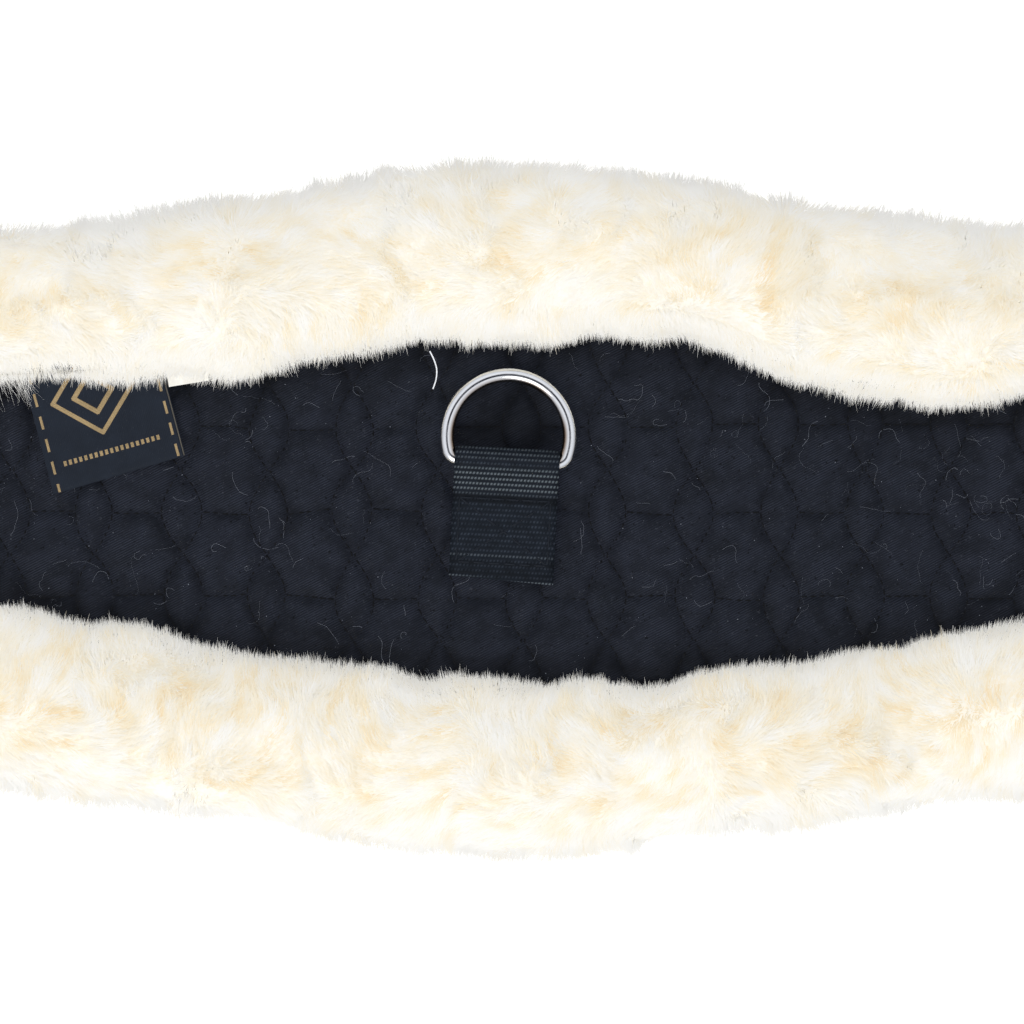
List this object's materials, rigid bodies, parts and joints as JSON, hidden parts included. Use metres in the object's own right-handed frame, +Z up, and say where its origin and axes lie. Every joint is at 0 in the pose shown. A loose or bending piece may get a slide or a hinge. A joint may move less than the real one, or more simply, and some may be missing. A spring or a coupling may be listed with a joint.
{
  "type": "saddle girth",
  "caption": "Short anatomical saddle girth: quilted cotton pad with sheepskin lining rolled over its edges, centre D-ring and elastic straps with roller buckles.",
  "frame": {"origin": "middle of the wool's resting face, at the centre of the bounding box's underside", "axes": "+X along the girth, +Y across it towards the edge the D-ring points to, +Z up through the pad from the wool side to the quilted side"},
  "size_m": [0.6914, 0.163, 0.0421],
  "materials": {
    "wool": "dense soft sheepskin fleece, cream",
    "sheepskin": "tanned hide, matt",
    "backing_cloth": "plain woven lining cloth",
    "black_webbing": "ribbed woven webbing",
    "foam": "closed-cell padding foam",
    "black_cotton": "quilted cotton twill, near black",
    "patch_leather": "fine-grained synthetic leather, satin",
    "black_tape": "woven binding tape",
    "black_thread": "sewing thread",
    "label_cloth": "damask-woven label with tan figures",
    "care_label_cloth": "plain cream satin tape",
    "black_elastic": "ribbed woven elastic",
    "polished_steel": "polished stainless steel"
  },
  "bodies": {
    "pad": {"wool_lining": "wool", "sheepskin_hide": "sheepskin", "quilt_backing": "backing_cloth", "load_web": "black_webbing", "foam_pad": "foam", "quilted_cover": "black_cotton", "wool_roll_front": "wool", "wool_roll_rear": "wool", "left_end_patch": "patch_leather", "right_end_patch": "patch_leather", "left_end_binding": "black_tape", "right_end_binding": "black_tape", "left_end_stitching": "black_thread", "right_end_stitching": "black_thread", "d_ring_tab": "black_webbing", "d_ring_tab_stitching": "black_thread", "woven_label": "label_cloth", "care_label": "care_label_cloth", "right_front_elastic_root": "black_elastic", "right_rear_elastic_root": "black_elastic", "left_front_elastic_root": "black_elastic", "left_rear_elastic_root": "black_elastic"},
    "d_ring": {"d_ring": "polished_steel"},
    "right_front_strap": {"right_front_elastic": "black_elastic"},
    "right_front_loop": {"right_front_elastic_loop": "black_elastic"},
    "right_front_buckle": {"right_front_buckle_frame": "polished_steel"},
    "right_front_roller": {"right_front_buckle_roller": "polished_steel"},
    "right_front_tongue": {"right_front_buckle_tongue": "polished_steel"},
    "right_rear_strap": {"right_rear_elastic": "black_elastic"},
    "right_rear_loop": {"right_rear_elastic_loop": "black_elastic"},
    "right_rear_buckle": {"right_rear_buckle_frame": "polished_steel"},
    "right_rear_roller": {"right_rear_buckle_roller": "polished_steel"},
    "right_rear_tongue": {"right_rear_buckle_tongue": "polished_steel"},
    "left_front_strap": {"left_front_elastic": "black_elastic"},
    "left_front_loop": {"left_front_elastic_loop": "black_elastic"},
    "left_front_buckle": {"left_front_buckle_frame": "polished_steel"},
    "left_front_roller": {"left_front_buckle_roller": "polished_steel"},
    "left_front_tongue": {"left_front_buckle_tongue": "polished_steel"},
    "left_rear_strap": {"left_rear_elastic": "black_elastic"},
    "left_rear_loop": {"left_rear_elastic_loop": "black_elastic"},
    "left_rear_buckle": {"left_rear_buckle_frame": "polished_steel"},
    "left_rear_roller": {"left_rear_buckle_roller": "polished_steel"},
    "left_rear_tongue": {"left_rear_buckle_tongue": "polished_steel"}
  },
  "joints": [
    {"name": "d_ring_pivot", "type": "hinge", "parent": "pad", "child": "d_ring", "pos_m": [-0.00112, 0.01193, 0.03345], "axis": [0.9986, -0.0523, 0], "range_deg": [0, 165]},
    {"name": "right_front_strap_lift", "type": "hinge", "parent": "pad", "child": "right_front_strap", "pos_m": [0.2484, 0.022, 0.0263], "axis": [0, -1, 0], "range_deg": [0, 80], "deforming": ["right_front_elastic"]},
    {"name": "right_front_strap_stretch", "type": "slide", "parent": "right_front_strap", "child": "right_front_loop", "axis": [1, 0, 0], "range_m": [0, 0.018], "stiffness_N_per_m": 3000, "deforming": ["right_front_elastic"]},
    {"name": "right_front_buckle_swing", "type": "hinge", "parent": "right_front_loop", "child": "right_front_buckle", "pos_m": [0.3104, 0.022, 0.0046], "axis": [0, -1, 0], "range_deg": [0, 45]},
    {"name": "right_front_tongue_swing", "type": "hinge", "parent": "right_front_buckle", "child": "right_front_tongue", "pos_m": [0.3104, 0.022, 0.0046], "axis": [0, -1, 0], "range_deg": [0, 90]},
    {"name": "right_front_roller_spin", "type": "hinge", "parent": "right_front_buckle", "child": "right_front_roller", "pos_m": [0.3394, 0.022, 0.0046], "axis": [0, 1, 0], "continuous": true},
    {"name": "right_rear_strap_lift", "type": "hinge", "parent": "pad", "child": "right_rear_strap", "pos_m": [0.2484, -0.022, 0.0263], "axis": [0, -1, 0], "range_deg": [0, 80], "deforming": ["right_rear_elastic"]},
    {"name": "right_rear_strap_stretch", "type": "slide", "parent": "right_rear_strap", "child": "right_rear_loop", "axis": [1, 0, 0], "range_m": [0, 0.018], "stiffness_N_per_m": 3000, "deforming": ["right_rear_elastic"]},
    {"name": "right_rear_buckle_swing", "type": "hinge", "parent": "right_rear_loop", "child": "right_rear_buckle", "pos_m": [0.3104, -0.022, 0.0046], "axis": [0, -1, 0], "range_deg": [0, 45]},
    {"name": "right_rear_tongue_swing", "type": "hinge", "parent": "right_rear_buckle", "child": "right_rear_tongue", "pos_m": [0.3104, -0.022, 0.0046], "axis": [0, -1, 0], "range_deg": [0, 90]},
    {"name": "right_rear_roller_spin", "type": "hinge", "parent": "right_rear_buckle", "child": "right_rear_roller", "pos_m": [0.3394, -0.022, 0.0046], "axis": [0, 1, 0], "continuous": true},
    {"name": "left_front_strap_lift", "type": "hinge", "parent": "pad", "child": "left_front_strap", "pos_m": [-0.2484, 0.022, 0.0263], "axis": [0, 1, 0], "range_deg": [0, 80], "deforming": ["left_front_elastic"]},
    {"name": "left_front_strap_stretch", "type": "slide", "parent": "left_front_strap", "child": "left_front_loop", "axis": [-1, 0, 0], "range_m": [0, 0.018], "stiffness_N_per_m": 3000, "deforming": ["left_front_elastic"]},
    {"name": "left_front_buckle_swing", "type": "hinge", "parent": "left_front_loop", "child": "left_front_buckle", "pos_m": [-0.3104, 0.022, 0.0046], "axis": [0, 1, 0], "range_deg": [0, 45]},
    {"name": "left_front_tongue_swing", "type": "hinge", "parent": "left_front_buckle", "child": "left_front_tongue", "pos_m": [-0.3104, 0.022, 0.0046], "axis": [0, 1, 0], "range_deg": [0, 90]},
    {"name": "left_front_roller_spin", "type": "hinge", "parent": "left_front_buckle", "child": "left_front_roller", "pos_m": [-0.3394, 0.022, 0.0046], "axis": [0, 1, 0], "continuous": true},
    {"name": "left_rear_strap_lift", "type": "hinge", "parent": "pad", "child": "left_rear_strap", "pos_m": [-0.2484, -0.022, 0.0263], "axis": [0, 1, 0], "range_deg": [0, 80], "deforming": ["left_rear_elastic"]},
    {"name": "left_rear_strap_stretch", "type": "slide", "parent": "left_rear_strap", "child": "left_rear_loop", "axis": [-1, 0, 0], "range_m": [0, 0.018], "stiffness_N_per_m": 3000, "deforming": ["left_rear_elastic"]},
    {"name": "left_rear_buckle_swing", "type": "hinge", "parent": "left_rear_loop", "child": "left_rear_buckle", "pos_m": [-0.3104, -0.022, 0.0046], "axis": [0, 1, 0], "range_deg": [0, 45]},
    {"name": "left_rear_tongue_swing", "type": "hinge", "parent": "left_rear_buckle", "child": "left_rear_tongue", "pos_m": [-0.3104, -0.022, 0.0046], "axis": [0, 1, 0], "range_deg": [0, 90]},
    {"name": "left_rear_roller_spin", "type": "hinge", "parent": "left_rear_buckle", "child": "left_rear_roller", "pos_m": [-0.3394, -0.022, 0.0046], "axis": [0, 1, 0], "continuous": true}
  ]
}
